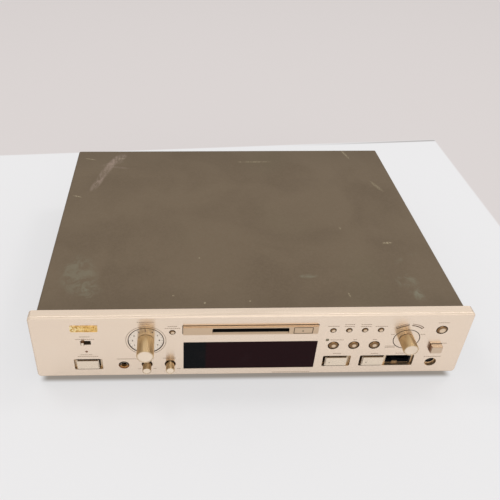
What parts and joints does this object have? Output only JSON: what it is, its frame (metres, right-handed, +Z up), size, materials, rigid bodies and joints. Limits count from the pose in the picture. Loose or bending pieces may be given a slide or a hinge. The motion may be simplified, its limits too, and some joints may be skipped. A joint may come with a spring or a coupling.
{
  "type": "minidisc deck",
  "caption": "Full-width hi-fi minidisc recorder deck with cartridge slot, display window, push keys and turned knobs in a folded steel case.",
  "frame": {"origin": "middle of the underside of the deck's box, on the surface that the feet stand on", "axes": "+X to the right seen from the front, +Y to the back, +Z up; the front panel faces -Y"},
  "size_m": [0.435, 0.341, 0.0941],
  "materials": {
    "champagne_aluminium": "satin champagne anodised",
    "sand_plastic": "moulded, painted sand",
    "smoked_acrylic": "gloss smoked acrylic",
    "display_glass": "dark display glass",
    "taupe_paint": "satin taupe paint",
    "gold_plate": "polished gold plate",
    "dial_silver": "satin pale dial",
    "lamp_lens": "tinted lens, unlit",
    "black_plastic": "moulded black",
    "cover_paint": "fine textured warm dark paint",
    "zinc_steel": "zinc plated sheet",
    "rear_paint": "matt dark paint",
    "foot_plastic": "moulded foot",
    "screw_nickel": "nickel plated",
    "board_laminate": "solder masked laminate",
    "can_sleeve": "plastic sleeve",
    "transformer_iron": "varnished core and windings",
    "pot_metal": "plated housing",
    "jack_metal": "plated barrels",
    "ribbon_plastic": "flat cable",
    "drive_steel": "plated sheet",
    "drive_plastic": "natural acetal",
    "knob_gold": "turned, champagne gold anodised",
    "key_satin": "satin champagne"
  },
  "bodies": {
    "chassis": {"front_panel": "champagne_aluminium", "sub_panel": "sand_plastic", "display_window": "smoked_acrylic", "display_tube": "display_glass", "slot_bezel": "taupe_paint", "badge_plate": "gold_plate", "level_dial": "dial_silver", "lamp_lenses": "lamp_lens", "phones_jack": "black_plastic", "keyboard_socket": "black_plastic", "top_cover": "cover_paint", "chassis_tray": "zinc_steel", "rear_panel": "rear_paint", "feet": "foot_plastic", "case_screws": "screw_nickel", "main_board": "board_laminate", "power_board": "board_laminate", "board_pillars": "screw_nickel", "capacitors": "can_sleeve", "transformer": "transformer_iron", "key_board": "board_laminate", "front_switches": "black_plastic", "control_pots": "pot_metal", "phono_jacks": "jack_metal", "optical_sockets": "black_plastic", "mains_inlet": "black_plastic", "ribbon_cables": "ribbon_plastic", "drive_brackets": "zinc_steel", "drive_base": "drive_steel", "guide_rods": "screw_nickel", "drive_motors": "pot_metal"},
    "power_key": {"power_key": "key_satin"},
    "play_key": {"play_key": "key_satin"},
    "pause_key": {"pause_key": "key_satin"},
    "eject_key": {"eject_key": "taupe_paint"},
    "record_key": {"record_key": "key_satin"},
    "menu_key": {"menu_key": "key_satin"},
    "enter_key": {"enter_key": "key_satin"},
    "small_key_1": {"small_key_1": "key_satin"},
    "small_key_2": {"small_key_2": "key_satin"},
    "small_key_3": {"small_key_3": "key_satin"},
    "small_key_4": {"small_key_4": "key_satin"},
    "monitor_key": {"monitor_key": "key_satin"},
    "side_key": {"side_key": "key_satin"},
    "back_key": {"back_key": "key_satin"},
    "next_key": {"next_key": "key_satin"},
    "block_key": {"block_key": "key_satin"},
    "timer_slider": {"timer_slider": "key_satin"},
    "level_knob": {"level_knob": "knob_gold"},
    "left_small_knob": {"left_small_knob": "knob_gold"},
    "right_small_knob": {"right_small_knob": "knob_gold"},
    "jog_knob": {"jog_knob": "knob_gold"},
    "slot_shutter": {"slot_shutter": "black_plastic"},
    "cartridge_holder": {"cartridge_holder": "drive_steel"},
    "loading_slide": {"loading_slide": "drive_plastic"},
    "loading_gear": {"loading_gear": "drive_plastic"},
    "turntable": {"turntable": "screw_nickel"},
    "pickup_sled": {"pickup_sled": "black_plastic"},
    "lead_screw": {"lead_screw": "screw_nickel"},
    "record_arm": {"record_arm": "drive_steel"}
  },
  "joints": [
    {"name": "power_press", "type": "slide", "parent": "chassis", "child": "power_key", "axis": [0, 1, 0], "range_m": [0, 0.001], "stiffness_N_per_m": 900, "springref_m": -0.0005},
    {"name": "play_press", "type": "slide", "parent": "chassis", "child": "play_key", "axis": [0, 1, 0], "range_m": [0, 0.001], "stiffness_N_per_m": 900, "springref_m": -0.0005},
    {"name": "pause_press", "type": "slide", "parent": "chassis", "child": "pause_key", "axis": [0, 1, 0], "range_m": [0, 0.001], "stiffness_N_per_m": 900, "springref_m": -0.0005},
    {"name": "eject_press", "type": "slide", "parent": "chassis", "child": "eject_key", "axis": [0, 1, 0], "range_m": [0, 0.0008], "stiffness_N_per_m": 900, "springref_m": -0.0005},
    {"name": "record_press", "type": "slide", "parent": "chassis", "child": "record_key", "axis": [0, 1, 0], "range_m": [0, 0.0008], "stiffness_N_per_m": 900, "springref_m": -0.0005},
    {"name": "menu_press", "type": "slide", "parent": "chassis", "child": "menu_key", "axis": [0, 1, 0], "range_m": [0, 0.0008], "stiffness_N_per_m": 900, "springref_m": -0.0005},
    {"name": "enter_press", "type": "slide", "parent": "chassis", "child": "enter_key", "axis": [0, 1, 0], "range_m": [0, 0.0008], "stiffness_N_per_m": 900, "springref_m": -0.0005},
    {"name": "small_key_1_press", "type": "slide", "parent": "chassis", "child": "small_key_1", "axis": [0, 1, 0], "range_m": [0, 0.0008], "stiffness_N_per_m": 900, "springref_m": -0.0005},
    {"name": "small_key_2_press", "type": "slide", "parent": "chassis", "child": "small_key_2", "axis": [0, 1, 0], "range_m": [0, 0.0008], "stiffness_N_per_m": 900, "springref_m": -0.0005},
    {"name": "small_key_3_press", "type": "slide", "parent": "chassis", "child": "small_key_3", "axis": [0, 1, 0], "range_m": [0, 0.0008], "stiffness_N_per_m": 900, "springref_m": -0.0005},
    {"name": "small_key_4_press", "type": "slide", "parent": "chassis", "child": "small_key_4", "axis": [0, 1, 0], "range_m": [0, 0.0008], "stiffness_N_per_m": 900, "springref_m": -0.0005},
    {"name": "monitor_press", "type": "slide", "parent": "chassis", "child": "monitor_key", "axis": [0, 1, 0], "range_m": [0, 0.0008], "stiffness_N_per_m": 900, "springref_m": -0.0005},
    {"name": "side_press", "type": "slide", "parent": "chassis", "child": "side_key", "axis": [0, 1, 0], "range_m": [0, 0.0008], "stiffness_N_per_m": 900, "springref_m": -0.0005},
    {"name": "back_press", "type": "slide", "parent": "chassis", "child": "back_key", "axis": [0, 1, 0], "range_m": [0, 0.0008], "stiffness_N_per_m": 900, "springref_m": -0.0005},
    {"name": "next_press", "type": "slide", "parent": "chassis", "child": "next_key", "axis": [0, 1, 0], "range_m": [0, 0.0008], "stiffness_N_per_m": 900, "springref_m": -0.0005},
    {"name": "block_press", "type": "slide", "parent": "chassis", "child": "block_key", "axis": [0, 1, 0], "range_m": [0, 0.0025], "stiffness_N_per_m": 400, "springref_m": -0.0005},
    {"name": "timer_slide", "type": "slide", "parent": "chassis", "child": "timer_slider", "axis": [1, 0, 0], "range_m": [0, 0.0056]},
    {"name": "level_turn", "type": "hinge", "parent": "chassis", "child": "level_knob", "pos_m": [-0.1043, -0.15, 0.0609], "axis": [0, -1, 0], "range_deg": [-150, 150]},
    {"name": "left_small_turn", "type": "hinge", "parent": "chassis", "child": "left_small_knob", "pos_m": [-0.1042, -0.15, 0.0258], "axis": [0, -1, 0], "range_deg": [-150, 150]},
    {"name": "right_small_turn", "type": "hinge", "parent": "chassis", "child": "right_small_knob", "pos_m": [-0.0806, -0.15, 0.0258], "axis": [0, -1, 0], "range_deg": [-150, 150]},
    {"name": "jog_turn", "type": "hinge", "parent": "chassis", "child": "jog_knob", "pos_m": [0.156, -0.15, 0.0591], "axis": [0, -1, 0], "continuous": true},
    {"name": "shutter_swing", "type": "hinge", "parent": "chassis", "child": "slot_shutter", "pos_m": [-0.0014, -0.1408, 0.081], "axis": [1, 0, 0], "range_deg": [0, 80], "stiffness_Nm_per_rad": 0.0008, "springref_deg": -17.19},
    {"name": "holder_drop", "type": "slide", "parent": "chassis", "child": "cartridge_holder", "axis": [0, 0, -1], "range_m": [0, 0.004]},
    {"name": "loading_run", "type": "slide", "parent": "chassis", "child": "loading_slide", "axis": [0, 1, 0], "range_m": [0, 0.012]},
    {"name": "loading_gear_turn", "type": "hinge", "parent": "chassis", "child": "loading_gear", "pos_m": [-0.04805, -0.0935, 0.0784], "axis": [0, 0, 1], "range_deg": [0, 114.6]},
    {"name": "disc_spin", "type": "hinge", "parent": "chassis", "child": "turntable", "pos_m": [-0.0014, -0.093, 0.0602], "axis": [0, 0, 1], "continuous": true},
    {"name": "sled_run", "type": "slide", "parent": "chassis", "child": "pickup_sled", "axis": [1, 0, 0], "range_m": [0, 0.013]},
    {"name": "lead_screw_turn", "type": "hinge", "parent": "chassis", "child": "lead_screw", "pos_m": [-0.0014, -0.0745, 0.0625], "axis": [1, 0, 0], "range_deg": [0, 1560.1]},
    {"name": "arm_lower", "type": "hinge", "parent": "pickup_sled", "child": "record_arm", "pos_m": [0.0506, -0.093, 0.0882], "axis": [0, -1, 0], "range_deg": [0, 11]}
  ],
  "couplings": [
    {"joint": "holder_drop", "follows": "loading_run", "ratio": 0.33333},
    {"joint": "loading_gear_turn", "follows": "loading_run", "rad_per_m": 166.67},
    {"joint": "lead_screw_turn", "follows": "sled_run", "rad_per_m": 2094.4}
  ]
}
